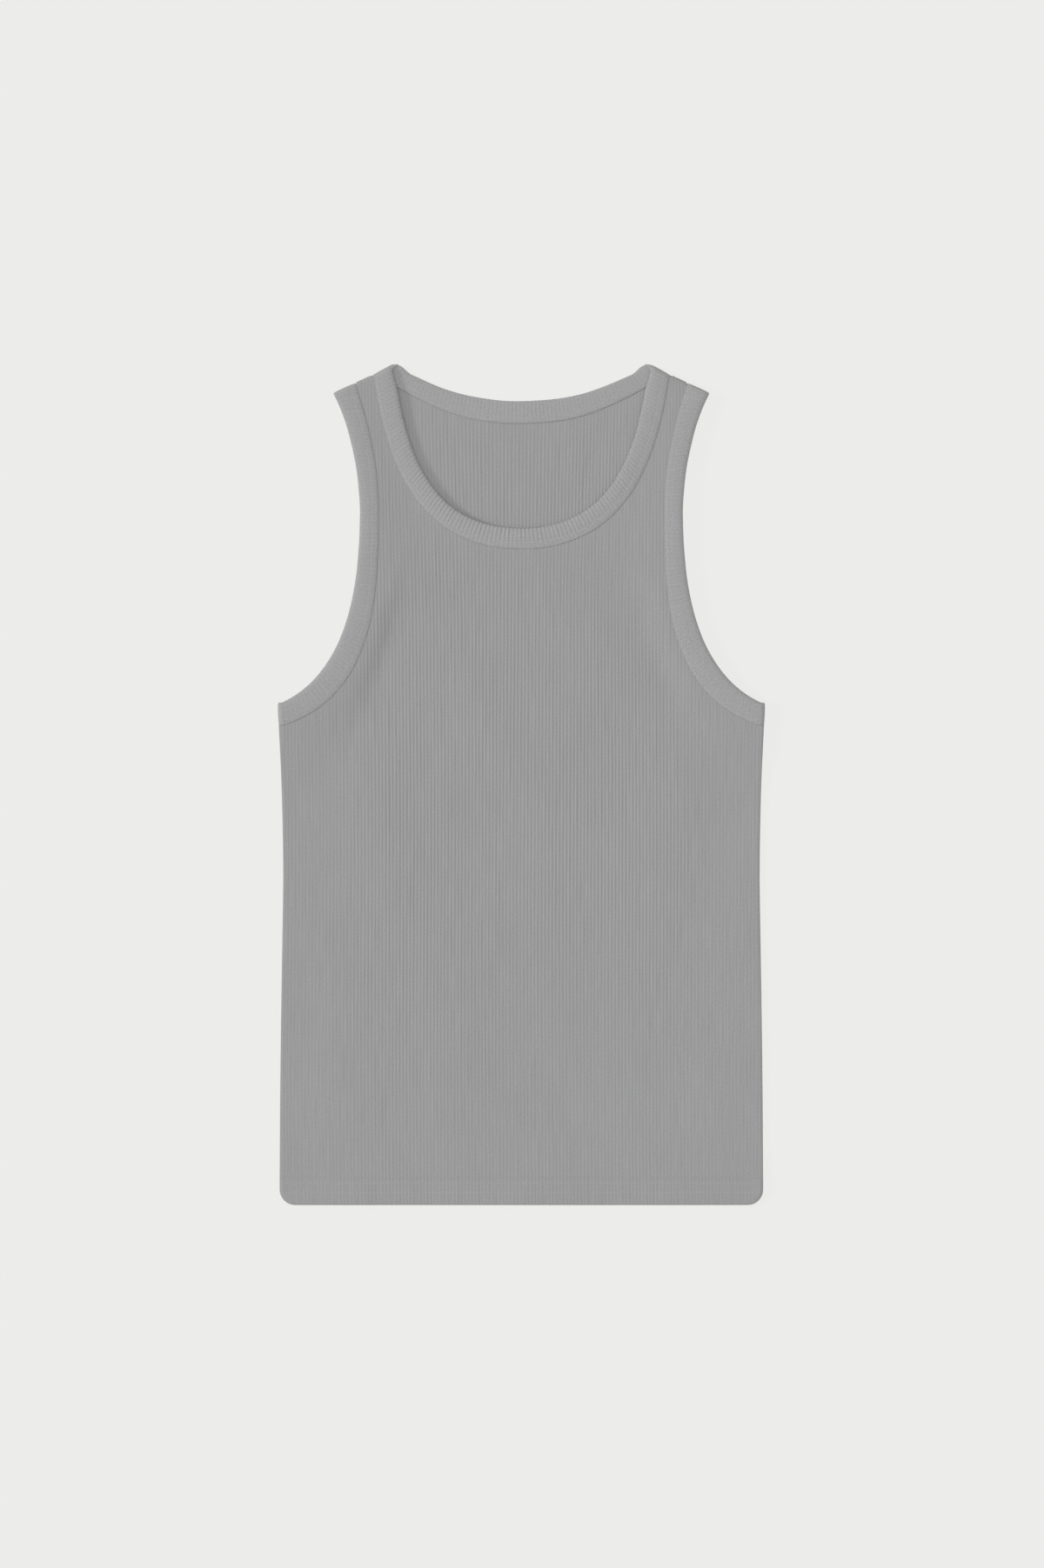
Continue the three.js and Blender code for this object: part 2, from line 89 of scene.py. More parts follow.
# Cubic Beziers from the shoulder: the folded edge of a binding, and the seam that ends it.
NECK_FRONT = [
    {"edge": [(0.1052, 0.3461), (0.0962, 0.2729), (0.0735, 0.2141), (0, 0.2141)],
     "seam": [(0.1215, 0.33865), (0.1111, 0.2629), (0.0829, 0.1973), (0, 0.1973)]},
]
NECK_BACK = [
    {"edge": [(0.1052, 0.3461), (0.084, 0.342), (0.062, 0.3197), (0, 0.3197)],
     "seam": [(0.1215, 0.33865), (0.088, 0.328), (0.066, 0.3016), (0, 0.3016)]},
]
ARMHOLE = [
    {"edge": [(0.1552, 0.3232), (0.1431, 0.2997), (0.1344, 0.2602), (0.1344, 0.225)],
     "seam": [(0.1382, 0.331), (0.1244, 0.2893), (0.1198, 0.2604), (0.1198, 0.225)]},
    {"edge": [(0.1344, 0.225), (0.1344, 0.1629), (0.1454, 0.0944), (0.1993, 0.0684)],
     "seam": [(0.1198, 0.225), (0.1198, 0.166), (0.1195, 0.075), (0.1986, 0.0502)]},
]

# Where each panel has risen to its bound edge, at half widths x.
RISE = [
    {"x": 0.000, "front": 0.191, "back": 0.296},
    {"x": 0.045, "front": 0.196, "back": 0.299},
    {"x": 0.075, "front": 0.206, "back": 0.296},
    {"x": 0.090, "front": 0.200, "back": 0.278},
    {"x": 0.105, "front": 0.183, "back": 0.225},
    {"x": 0.116, "front": 0.152, "back": 0.152},
    {"x": 0.130, "front": 0.110, "back": 0.110},
    {"x": 0.154, "front": 0.069, "back": 0.069},
    {"x": 0.180, "front": 0.050, "back": 0.050},
    {"x": 0.210, "front": 0.038, "back": 0.038},
]
RISE_RUN = 0.055
UNDERARM_GAP = 0.0010
UNDERARM_Y = ARMHOLE[1]["seam"][3][1] - UNDERARM_GAP
SLOT_END = 0.1985
PANEL_INSET = 0.0042

# At the shoulder's fold the neck's front edge swings out and its back edge swings in.
NECK_TIP = 0.0037
TIP_RUN = {"front": 0.022, "back": 0.015}
FRONT_SWING = 0.6

# How far the panel goes on over the shoulder's fold, and sideways under the bindings' ends.
SHOULDER_TAB = 0.0030
TAB_LAP = 0.0015

# Straight steps in each stretch of a panel's outline. The neck's go over both its halves.
CORNER_STEPS = 8
SIDE_STEPS = 24
ARMHOLE_STEPS = 48
NECK_STEPS = 96


def smooth(value):
    clamped = min(max(value, 0.0), 1.0)
    return clamped * clamped * (3 - 2 * clamped)


def mix(a, b, share):
    return a + (b - a) * share


def bezier(points, t):
    a, b, c, d = (Vector(p) for p in points)
    s = 1 - t
    return a * s ** 3 + b * 3 * s * s * t + c * 3 * s * t * t + d * t ** 3


def half_ruling(parts):
    """Edge and seam points at t, from the shoulder at 0."""
    def at(t):
        place = min(int(t * len(parts)), len(parts) - 1)
        local = t * len(parts) - place
        return bezier(parts[place]["edge"], local), bezier(parts[place]["seam"], local)
    return at


def whole_ruling(parts):
    """The same with its mirror image, from the left shoulder at 0 to the right one at 1."""
    half = half_ruling(parts)

    def at(t):
        edge, seam = half(1 - abs(2 * t - 1))
        side = -1 if t < 0.5 else 1
        return Vector((edge.x * side, edge.y)), Vector((seam.x * side, seam.y))
    return at


def even_steps(rule, count):
    """Values of t at equal distances along a ruling's edge, and the edge's length."""
    samples = 600
    points = [rule(i / samples)[0] for i in range(samples + 1)]
    lengths = [0.0]
    for i in range(samples):
        lengths.append(lengths[i] + (points[i + 1] - points[i]).length)
    steps = []
    i = 1
    for n in range(count + 1):
        target = lengths[-1] * n / count
        while i < samples and lengths[i] < target:
            i += 1
        part = (target - lengths[i - 1]) / (lengths[i] - lengths[i - 1])
        steps.append((i - 1 + part) / samples)
    return steps, lengths[-1]


neck_front = whole_ruling(NECK_FRONT)
neck_back = whole_ruling(NECK_BACK)
armhole = half_ruling(ARMHOLE)
shoulder_neck, shoulder_arm = neck_front(1)[1], armhole(0)[1]
shoulder_along = (shoulder_arm - shoulder_neck).normalized()
shoulder_out = Vector((-shoulder_along.y, shoulder_along.x))


def half_width(y):
    if y > WAIST_Y:
        share = (y - WAIST_Y) / (UNDERARM_Y - WAIST_Y)
        return mix(WAIST_HALF_WIDTH, CHEST_HALF_WIDTH, share * share)
    share = (WAIST_Y - y) / (WAIST_Y - HEM_Y)
    return mix(WAIST_HALF_WIDTH, HEM_HALF_WIDTH, math.sin(share * math.pi / 2))


def panel_outline(neck):
    """The panel's cut edge, anticlockwise from the middle of the hem's right half."""
    right = []
    corner_x = half_width(HEM_Y + HEM_CORNER) - HEM_CORNER
    for i in range(CORNER_STEPS + 1):
        angle = math.radians(-90 + 90 * i / CORNER_STEPS)
        right.append(Vector((corner_x + HEM_CORNER * math.cos(angle),
                             HEM_Y + HEM_CORNER + HEM_CORNER * math.sin(angle))))
    for i in range(1, SIDE_STEPS + 1):
        y = mix(HEM_Y + HEM_CORNER, UNDERARM_Y, i / SIDE_STEPS)
        right.append(Vector((half_width(y), y)))
    right.append(Vector((SLOT_END, UNDERARM_Y)))
    for t in reversed(even_steps(armhole, ARMHOLE_STEPS)[0]):
        edge, seam = armhole(t)
        point = edge.lerp(seam, PANEL_INSET / (edge - seam).length)
        if point.x < SLOT_END:
            right.append(point)
    # Between the two bindings the panel goes on over the shoulder's fold.
    tab_arm = shoulder_arm + shoulder_along * TAB_LAP
    tab_neck = shoulder_neck - shoulder_along * TAB_LAP
    right += [tab_arm, tab_arm + shoulder_out * SHOULDER_TAB]
    right += [tab_neck + shoulder_out * SHOULDER_TAB, tab_neck]
    steps, length = even_steps(neck, NECK_STEPS)
    for n in range(NECK_STEPS, NECK_STEPS // 2 - 1, -1):
        edge, seam = neck(steps[n])
        near = smooth(1 - (1 - n / NECK_STEPS) * length / TIP_RUN["front"])
        swing = FRONT_SWING * NECK_TIP * near
        right.append(edge.lerp(seam, (PANEL_INSET + swing) / (edge - seam).length))
    left = [Vector((-p.x, p.y)) for p in reversed(right) if p.x > AIR]
    return right + left


STRAP_LEAN = 0.004
RIB_DRIFT = 0.0022


def rib_lean(x, y):
    """How far a rib that starts at x has drifted sideways at height y."""
    strap = smooth((y - 0.12) / 0.24) * STRAP_LEAN * math.sin(x * 22 + 0.4)
    drift = noise.noise(Vector((x * 9, y * 3.1, 2.7))) * RIB_DRIFT
    return strap + drift


@cache
def unlean(x, y):
    """Where the rib that passes through a point starts."""
    start = x
    for _ in range(3):
        start = x - rib_lean(start, y)
    return start


CREST_POWER = 1.15


def rib_profile(phase):
    """Height of a rib: a round crest at the halves, and a valley at whole numbers."""
    return (0.5 - 0.5 * math.cos(2 * math.pi * phase)) ** CREST_POWER


# Places where handling has pressed the ribs flatter: centre, half width and length, share lost.
PRESSED = [
    {"x": 0.052, "y": -0.225, "wide": 0.050, "long": 0.110, "lost": 0.35},
    {"x": -0.165, "y": -0.030, "wide": 0.030, "long": 0.060, "lost": 0.30},
    {"x": 0.168, "y": -0.035, "wide": 0.030, "long": 0.065, "lost": 0.30},
    {"x": 0.070, "y": 0.175, "wide": 0.040, "long": 0.035, "lost": 0.35},
    {"x": -0.020, "y": -0.320, "wide": 0.120, "long": 0.030, "lost": 0.15},
    {"x": 0.004, "y": 0.296, "wide": 0.058, "long": 0.008, "lost": 0.45},
]


def rib_strength(x, y):
    """Ribs stand full over the middle, and flatter at the sides, on the straps and at the hem."""
    side = smooth((abs(x) - 0.105) / 0.075)
    low = smooth((-0.11 - y) / 0.22)
    strap = smooth((y - 0.12) / 0.10) * smooth((abs(x) - 0.060) / 0.035)
    strength = 0.98 * (1 - 0.64 * side) * (1 - 0.45 * low) * (1 - 0.45 * strap)
    for place in PRESSED:
        reach = ((x - place["x"]) / place["wide"]) ** 2 + ((y - place["y"]) / place["long"]) ** 2
        strength *= 1 - place["lost"] * math.exp(-1.5 * reach)
    return strength


LONG_SWELL = 0.5
SHORT_SWELL = 0.4


@cache
def rib_height(x, y):
    """The rib's own height here: each rib swells and fades along its length in its own way."""
    start = unlean(x, y) / RIB_PITCH
    own = noise.noise(Vector((math.floor(start) * 3.7, y * 9, 1.9)))
    fine = noise.noise(Vector((math.floor(start) * 5.3, y * 26, 8.2)))
    strength = rib_strength(x, y) * (1 + LONG_SWELL * own + SHORT_SWELL * fine)
    return RIB_HEIGHT * strength * rib_profile(start)


def rise_line(x, face):
    half = abs(x)
    for i in range(1, len(RISE)):
        if half <= RISE[i]["x"] or i == len(RISE) - 1:
            break
    a, b = RISE[i - 1], RISE[i]
    share = (half - a["x"]) / (b["x"] - a["x"])
    return mix(a[face], b[face], share)


# Soft ridges left in the front by handling: centre, length, width, turn from upright, height.
RIDGES = [
    {"x": -0.118, "y": -0.020, "long": 0.150, "wide": 0.030, "turn": 14, "high": 0.0007},
    {"x": 0.126, "y": -0.045, "long": 0.170, "wide": 0.034, "turn": -11, "high": 0.0007},
    {"x": -0.052, "y": 0.105, "long": 0.090, "wide": 0.022, "turn": 32, "high": 0.0005},
    {"x": 0.061, "y": 0.088, "long": 0.105, "wide": 0.024, "turn": -28, "high": 0.0005},
    {"x": 0.012, "y": -0.128, "long": 0.190, "wide": 0.041, "turn": 4, "high": 0.0006},
    {"x": -0.160, "y": -0.210, "long": 0.140, "wide": 0.028, "turn": -6, "high": 0.0006},
    {"x": 0.151, "y": -0.226, "long": 0.120, "wide": 0.026, "turn": 9, "high": 0.0005},
    {"x": -0.070, "y": -0.262, "long": 0.080, "wide": 0.030, "turn": 21, "high": 0.0004},
]
UNEVEN_LIFT = 0.00025


def front_ease(x, y):
    total = UNEVEN_LIFT * (1 + noise.noise(Vector((x * 14, y * 8, 0.3))))
    for ridge in RIDGES:
        turn = math.radians(ridge["turn"])
        dx, dy = x - ridge["x"], y - ridge["y"]
        across = dx * math.cos(turn) + dy * math.sin(turn)
        along = dy * math.cos(turn) - dx * math.sin(turn)
        reach = (across / ridge["wide"]) ** 2 + (along / ridge["long"]) ** 2
        total += ridge["high"] * math.exp(-2.5 * reach)
    return total


SINK_DEPTH = 0.0020
SINK_START_Y = 0.330
SINK_RUN = 0.130


def front_drop(y):
    """How far the front's neck edge sinks below the shoulders' stack, on to the back panel."""
    return SINK_DEPTH * smooth((SINK_START_Y - y) / SINK_RUN)


def tree_of(points):
    tree = KDTree(len(points))
    for i, point in enumerate(points):
        tree.insert((point.x, point.y, 0), i)
    tree.balance()
    return tree


SEAM_SAMPLES = 500


def seam_line(rule, both_sides):
    """A finder for the points of a binding's seam, with the way from its folded edge to each."""
    pairs = [rule(i / SEAM_SAMPLES) for i in range(SEAM_SAMPLES + 1)]
    if both_sides:
        pairs += [(Vector((-edge.x, edge.y)), Vector((-seam.x, seam.y))) for edge, seam in pairs]
    seams = [seam for _, seam in pairs]
    return tree_of(seams), seams, [seam - edge for edge, seam in pairs]


# Below this height every binding is far away, and this stands for the distance to it.
BODY_TOP = 0.025
FAR_PAST = 0.03


def past_seam(line, x, y):
    """Distance from a binding's seam: over 0 outside the binding, under 0 inside it.

    What lies beyond the shoulder's fold counts from its place on the fold.
    """
    if y < BODY_TOP:
        return FAR_PAST
    place = Vector((abs(x), y))
    beyond = (place - shoulder_neck).dot(shoulder_out)
    if beyond > 0:
        place -= shoulder_out * beyond
    place.x = math.copysign(place.x, x)
    tree, seams, outwards = line
    _, i, distance = tree.find((place.x, place.y, 0))
    return math.copysign(distance, (place - seams[i]).dot(outwards[i]))


arm_seam = seam_line(armhole, True)
neck_seams = {"front": seam_line(neck_front, False), "back": seam_line(neck_back, False)}


# The rise to a bound edge is evened out over these steps sideways. The front comes down from
# its double hem over a short run, and each panel lies with a little ease in its slot.
RISE_SPREAD = (-0.009, -0.0045, 0, 0.0045, 0.009)
HEM_EASE_START = 0.002
HEM_EASE_RUN = 0.012
HEM_TURNED = 0.85
SLOT_EASE = {"front": 0.00036, "back": 0.00008}


@cache
def panel_base(x, y, face):
    """Height of a panel's lower face: flat over the body, up to its slot at the bound edges."""
    lift = 0.0
    if y > RISE[-1][face] - RISE_RUN:
        line = sum(rise_line(x + step, face) for step in RISE_SPREAD) / len(RISE_SPREAD)
        lift = smooth((y - line + RISE_RUN) / RISE_RUN)
    if face == "back":
        return mix(0.0, BACK_SLOT + SLOT_EASE["back"], lift)
    body = KNIT + RIB_HEIGHT + AIR
    past_hem = y - HEM_Y - HEM_DEPTH - HEM_EASE_START
    hem = smooth(1 - past_hem / HEM_EASE_RUN) * HEM_TURNED * KNIT
    if lift == 0:
        return body + hem + front_ease(x, y)
    to_neck = max(past_seam(neck_seams["front"], x, y), 0.0)
    to_arm = max(past_seam(arm_seam, x, y), 0.0)
    sunk = front_drop(y) * smooth(to_arm / max(to_arm + to_neck, 1e-6))
    slot = FRONT_SLOT + SLOT_EASE["front"] - sunk
    return mix(body + hem, slot, lift) + front_ease(x, y) * (1 - lift)


# Past a binding's seam the ribs rise to their full height: from where, and over what run.
ARM_RIBS = {"start": -0.0010, "run": 0.0040}
NECK_RIBS = {"start": 0.0016, "run": 0.0060}
RIB_IN_SLOT = 0.12

# The hem's double cloth ends inside over a short run, and its two rows of stitches dent it.
HEM_END_RUN = 0.0012
HEM_ROWS = (0.0107, 0.0187)
DENT_REACH = 0.0009
DENT_DEPTH = 0.00008
DENT_RIB_LOSS = 0.45

# Free edges are rounded off, and the ribs fade there.
SIDE_ROUND = 0.0030
ROUND_RIB_LOSS = 0.8
FRONT_ROUND_LOSS = 0.7
BACK_ROUND_LIFT = 0.5

# The side seam closes up to the underarm, where it gives way a little.
SIDE_CLOSED = 0.0045
SIDE_END_SHARE = 0.8
SIDE_END_RUN = 0.0015
SIDE_END_REACH = 0.0001


def panel_height(x, y, face, top):
    """Height of the panel's upper or lower face."""
    base = panel_base(x, y, face)
    past_arm = past_seam(arm_seam, x, y) - ARM_RIBS["start"]
    past_neck = past_seam(neck_seams[face], x, y) - NECK_RIBS["start"]
    pressed = min(smooth(past_arm / ARM_RIBS["run"]), smooth(past_neck / NECK_RIBS["run"]))
    rib = rib_height(x, y) * mix(RIB_IN_SLOT, 1, pressed)
    turned = smooth(1 - (y - HEM_Y - HEM_DEPTH) / HEM_END_RUN)
    thick = KNIT * (1 + HEM_TURNED * turned)
    for row in HEM_ROWS:
        dent = max(0.0, 1 - abs(y - HEM_Y - row) / DENT_REACH)
        rib *= 1 - DENT_RIB_LOSS * dent
        thick -= DENT_DEPTH * dent
    outer = 0.0
    if y < UNDERARM_Y + KNIT and (half_width(y) - abs(x) < HEM_CORNER or y < HEM_Y + HEM_CORNER):
        curl = max(0.0, 1 - free_edges.find((x, y, 0))[2] / SIDE_ROUND)
        outer = 1 - math.sqrt(max(0.0, 1 - curl * curl))
        rib *= 1 - ROUND_RIB_LOSS * curl
    if face == "front":
        z = base + rib + (thick * (1 - FRONT_ROUND_LOSS * outer) if top else 0.0)
    else:
        z = base + rib + (thick if top else outer * KNIT * BACK_ROUND_LIFT)
    inside = top if face == "back" else not top
    if inside and y < UNDERARM_Y + SIDE_END_REACH:
        closed = smooth(1 - (half_width(y) - abs(x)) / SIDE_CLOSED)
        closed *= mix(SIDE_END_SHARE, 1, smooth((UNDERARM_Y - y) / SIDE_END_RUN))
        if closed > 0:
            back_top = panel_base(x, y, "back") + KNIT
            middle = (back_top + panel_base(x, y, "front")) / 2
            z = mix(z, middle + (-AIR if face == "back" else AIR) / 2, closed)
    return z


# Heights of the sheet's rows above the hem, close together where the hem is turned and sewn,
# and just below the underarm, where the side seam ends.
HEM_LINES = [-0.0040, 0.0004, 0.0010, 0.0019, 0.0032, 0.0065, 0.0098, 0.0107, 0.0116,
             0.0150, 0.0178, 0.0187, 0.0196, 0.0219, 0.0226, 0.0234, 0.0270]
UNDERARM_LINES = (0.0002, 0.0015, 0.0032)
BODY_ROW_STEP = 0.0185
TOP_ROW_STEP = 0.0122
SHEET_TOP = 0.352
SHEET_HALF_WIDTH = 0.208
ROW_LINES = [HEM_Y + line for line in HEM_LINES]
while ROW_LINES[-1] < SHEET_TOP:
    row_step = BODY_ROW_STEP if ROW_LINES[-1] < UNDERARM_Y else TOP_ROW_STEP
    ROW_LINES.append(ROW_LINES[-1] + row_step)
ROW_LINES = sorted(ROW_LINES + [UNDERARM_Y - below for below in UNDERARM_LINES])


def linked(name, bm):
    """A new object of this mesh in the scene."""
    mesh = bpy.data.meshes.new(name)
    bm.to_mesh(mesh)
    bm.free()
    piece = bpy.data.objects.new(name, mesh)
    bpy.context.scene.collection.objects.link(piece)
    return piece


def thickened(bm, faces, depth):
    """Extrudes flat faces straight down."""
    grown = bmesh.ops.extrude_face_region(bm, geom=faces)
    lower = [g for g in grown["geom"] if isinstance(g, bmesh.types.BMVert)]
    bmesh.ops.translate(bm, vec=(0, 0, -depth), verts=lower)
    bmesh.ops.recalc_face_normals(bm, faces=bm.faces[:])


CUTTER_TOP = 2 * KNIT
CUTTER_DEPTH = 5 * KNIT


def cut_sheet(name, outline):
    """A flat layer of knit with its columns along the ribs, cut to an outline."""
    columns = 2 * math.ceil(SHEET_HALF_WIDTH / RIB_PITCH) * STEPS_PER_RIB
    width = columns * RIB_PITCH / STEPS_PER_RIB
    rows = len(ROW_LINES) - 1
    bm = bmesh.new()
    bmesh.ops.create_grid(bm, x_segments=columns, y_segments=rows, size=0.5)
    for v in bm.verts:
        x, y = v.co.x * width, ROW_LINES[round((v.co.y + 0.5) * rows)]
        v.co = (x + rib_lean(x, y), y, 0)
    thickened(bm, bm.faces[:], KNIT)
    piece = linked(name, bm)

    bm = bmesh.new()
    face = bm.faces.new([bm.verts.new((p.x, p.y, CUTTER_TOP)) for p in outline])
    thickened(bm, [face], CUTTER_DEPTH)
    cutter = linked("cutter", bm)

    cut = piece.modifiers.new("outline", "BOOLEAN")
    cut.operation = "INTERSECT"
    cut.solver = "EXACT"
    cut.object = cutter
    bpy.context.view_layer.update()
    shaped = piece.evaluated_get(bpy.context.evaluated_depsgraph_get())
    mesh = bpy.data.meshes.new_from_object(shaped)
    piece.modifiers.clear()
    flat = piece.data
    piece.data = mesh
    bpy.data.meshes.remove(flat)
    bpy.data.objects.remove(cutter)
    return piece


# The shoulder's fold: the lines that let the sheet bend, the length and degrees of the bend,
# and its bulge, which grows in the free cloth between the two bindings' ends.
FOLD_LINES = (-0.0002, 0.0006, 0.0012, 0.0018, 0.0024)
FOLD_RUN = 0.0021
FOLD_TURN = 86
FOLD_BULGE = 0.92
FREE_BULGE = 0.36
FREE_START = 0.0006
FREE_RUN = 0.0028


def roll_shoulder(v):
    """Bends what lies beyond the fold's axis round it, towards the other panel."""
    side = -1 if v.co.x < 0 else 1
    offset = Vector((v.co.x * side, v.co.y)) - shoulder_neck
    reach = offset.dot(shoulder_out)
    if reach <= 0:
        return
    rise = v.co.z - MIDDLE
    angle = min(reach / FOLD_RUN, math.radians(FOLD_TURN))
    # Between the bindings' ends the cloth stands out as far as they do.
    along = offset.dot(shoulder_along)
    free = min(along, (shoulder_arm - shoulder_neck).length - along)
    bulge = FOLD_BULGE + FREE_BULGE * smooth((free - FREE_START) / FREE_RUN)
    shift = shoulder_out * (bulge * abs(rise) * math.sin(angle) - reach)
    v.co.x += shift.x * side
    v.co.y += shift.y
    v.co.z = MIDDLE + math.copysign(max(abs(rise) * math.cos(angle), AIR / 2), rise)


def shape_panel(piece, face):
    """Ribs the flat sheet, raises it to its place, and rounds its free edges."""
    bm = bmesh.new()
    bm.from_mesh(piece.data)
    for side in (-1, 1):
        start = Vector((shoulder_neck.x * side, shoulder_neck.y, 0))
        normal = Vector((shoulder_out.x * side, shoulder_out.y, 0))
        for reach in FOLD_LINES:
            geom = bm.verts[:] + bm.edges[:] + bm.faces[:]
            plane = start + normal * reach
            bmesh.ops.bisect_plane(bm, geom=geom, dist=1e-6, plane_co=plane, plane_no=normal)
    cloth_map = bm.loops.layers.uv.new("cloth")
    for f in bm.faces:
        for loop in f.loops:
            x, y = loop.vert.co.x, loop.vert.co.y
            loop[cloth_map].uv = (unlean(x, y), y)
    for v in bm.verts:
        v.co.z = panel_height(v.co.x, v.co.y, face, v.co.z > -KNIT / 2)
        roll_shoulder(v)
    bm.to_mesh(piece.data)
    bm.free()
    piece.data.shade_smooth()


def closely(points, step):
    """The closed outline again, with a point at least every step."""
    result = []
    for a, b in zip(points, points[1:] + points[:1]):
        count = max(1, math.ceil((b - a).length / step))
        result += [a.lerp(b, i / count) for i in range(count)]
    return result


def knit_surface():
    """Node group: heathered cotton in rows of small stitches, with painted shade in the rib
    valleys, from a cloth UV map in metres.
    """
    group = bpy.data.node_groups.new("knit surface", "ShaderNodeTree")
    face = group.interface
    face.new_socket("Colour", in_out="INPUT", socket_type="NodeSocketColor")
    values = (("Rib", RIB_PITCH), ("Course", 0.0011), ("Painted valley shade", 0.05),
              ("Streak", 0.03), ("Yarn", 0.24), ("Heather", 0.40))
    for name, value in values:
        socket = face.new_socket(name, in_out="INPUT", socket_type="NodeSocketFloat")
        socket.default_value = value
    face.new_socket("Colour", in_out="OUTPUT", socket_type="NodeSocketColor")
    face.new_socket("Height", in_out="OUTPUT", socket_type="NodeSocketFloat")
    nodes, links = group.nodes, group.links
    given = nodes.new("NodeGroupInput")
    out = nodes.new("NodeGroupOutput")
    uv = nodes.new("ShaderNodeUVMap")
    uv.uv_map = "cloth"
    split = nodes.new("ShaderNodeSeparateXYZ")
    links.new(uv.outputs["UV"], split.inputs[0])

    def math_node(operation, first, second=None, third=None):
        node = nodes.new("ShaderNodeMath")
        node.operation = operation
        for i, value in enumerate((first, second, third)):
            if isinstance(value, (int, float)):
                node.inputs[i].default_value = value
            elif value is not None:
                links.new(value, node.inputs[i])
        return node.outputs[0]

    def cloth_noise(scale, detail, stretch):
        move = nodes.new("ShaderNodeMapping")
        move.inputs["Scale"].default_value = stretch
        links.new(uv.outputs["UV"], move.inputs["Vector"])
        texture = nodes.new("ShaderNodeTexNoise")
        texture.inputs["Scale"].default_value = scale
        texture.inputs["Detail"].default_value = detail
        links.new(move.outputs[0], texture.inputs["Vector"])
        return math_node("SUBTRACT", texture.outputs["Fac"], 0.5)

    # A rib is a column of Vs, so a course bends down towards its middle. The colour is painted
    # darker in the rib valleys and lighter on the crests: painted shade and painted light.
    rib = math_node("DIVIDE", split.outputs["X"], given.outputs["Rib"])
    crest = math_node("PINGPONG", rib, 0.5)
    wale = math_node("MULTIPLY", rib, 2.0)
    across = math_node("PINGPONG", wale, 0.5)
    course = math_node("DIVIDE", split.outputs["Y"], given.outputs["Course"])
    bent = math_node("MULTIPLY_ADD", across, 1.3, course)
    bent = math_node("MULTIPLY_ADD", cloth_noise(170, 2, (1, 1, 1)), 5.0, bent)
    ripple = math_node("PINGPONG", bent, 0.5)
    leg = math_node("MULTIPLY", ripple, 2.0)
    groove = math_node("SMOOTH_MIN", across, 0.22, 0.1)
    stitch = math_node("MULTIPLY_ADD", groove, 2.2, leg)

    fleck = cloth_noise(1050, 2, (1, 0.8, 1))
    yarn = cloth_noise(1250, 1, (1, 0.022, 1))
    streak = cloth_noise(300, 2, (1, 0.02, 1))
    patch = cloth_noise(16, 2, (1, 0.6, 1))
    tone = math_node("MULTIPLY", fleck, given.outputs["Heather"])
    tone = math_node("MULTIPLY_ADD", yarn, given.outputs["Yarn"], tone)
    tone = math_node("MULTIPLY_ADD", streak, given.outputs["Streak"], tone)
    tone = math_node("MULTIPLY_ADD", patch, 0.08, tone)
    tone = math_node("MULTIPLY_ADD", leg, 0.04, tone)
    # Painted shade: darker colour in the rib valleys, and painted light on the crests.
    shade = math_node("SUBTRACT", crest, 0.25)
    shade = math_node("MULTIPLY", shade, given.outputs["Painted valley shade"])
    tone = math_node("MULTIPLY_ADD", shade, 4.0, tone)
    tone = math_node("ADD", tone, 0.97)
    colour = nodes.new("ShaderNodeVectorMath")
    colour.operation = "SCALE"
    links.new(given.outputs["Colour"], colour.inputs[0])
    links.new(tone, colour.inputs["Scale"])
    links.new(colour.outputs[0], out.inputs["Colour"])
    height = math_node("MULTIPLY_ADD", fleck, 0.6, stitch)
    links.new(height, out.inputs["Height"])
    return group


def knit_material(name, colour, values, relief):
    """Matt cotton: the knit surface group colours it, with painted shade in the rib valleys, and
    raises its stitches.
    """
    material = bpy.data.materials.new(name)
    material.use_nodes = True
    nodes, links = material.node_tree.nodes, material.node_tree.links
    shader = nodes["Principled BSDF"]
    shader.inputs["Roughness"].default_value = 0.92
    shader.inputs["Specular IOR Level"].default_value = 0.25
    shader.inputs["Sheen Weight"].default_value = 0.12
    shader.inputs["Sheen Roughness"].default_value = 0.6
    surface = nodes.new("ShaderNodeGroup")
    surface.node_tree = knit
    surface.inputs["Colour"].default_value = (*colour, 1)
    for key, value in values.items():
        surface.inputs[key].default_value = value
    bump = nodes.new("ShaderNodeBump")
    bump.inputs["Strength"].default_value = 0.55
    bump.inputs["Distance"].default_value = relief
    links.new(surface.outputs["Height"], bump.inputs["Height"])
    links.new(surface.outputs["Colour"], shader.inputs["Base Color"])
    links.new(bump.outputs["Normal"], shader.inputs["Normal"])
    return material


BODY_GREY = (0.346, 0.346, 0.348)
BODY_STITCH_RELIEF = 0.00006
EDGE_STEP = 0.0005

knit = knit_surface()
# The body's knit, with a little painted shade in its rib valleys.
body_knit = knit_material("body rib knit", BODY_GREY, {"Painted valley shade": 0.035}, BODY_STITCH_RELIEF)

back_outline = panel_outline(neck_back)
edge_points = closely(back_outline, EDGE_STEP)
free_edges = tree_of([p for p in edge_points if p.y < UNDERARM_Y - EDGE_STEP])
back_panel = cut_sheet("back_panel_cloth", back_outline)
shape_panel(back_panel, "back")
back_panel.data.materials.append(body_knit)
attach(back_panel, "root")
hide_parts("back_panel")


# Front panel. The same knit with a deep scoop neck, lying on the back panel. It is raised a
# little where it runs into the bindings, whose folded layers are thicker than the cloth.
front_outline = panel_outline(neck_front)
front_panel = cut_sheet("front_panel_cloth", front_outline)
shape_panel(front_panel, "front")
front_panel.data.materials.append(body_knit)
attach(front_panel, "root")
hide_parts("front_panel")


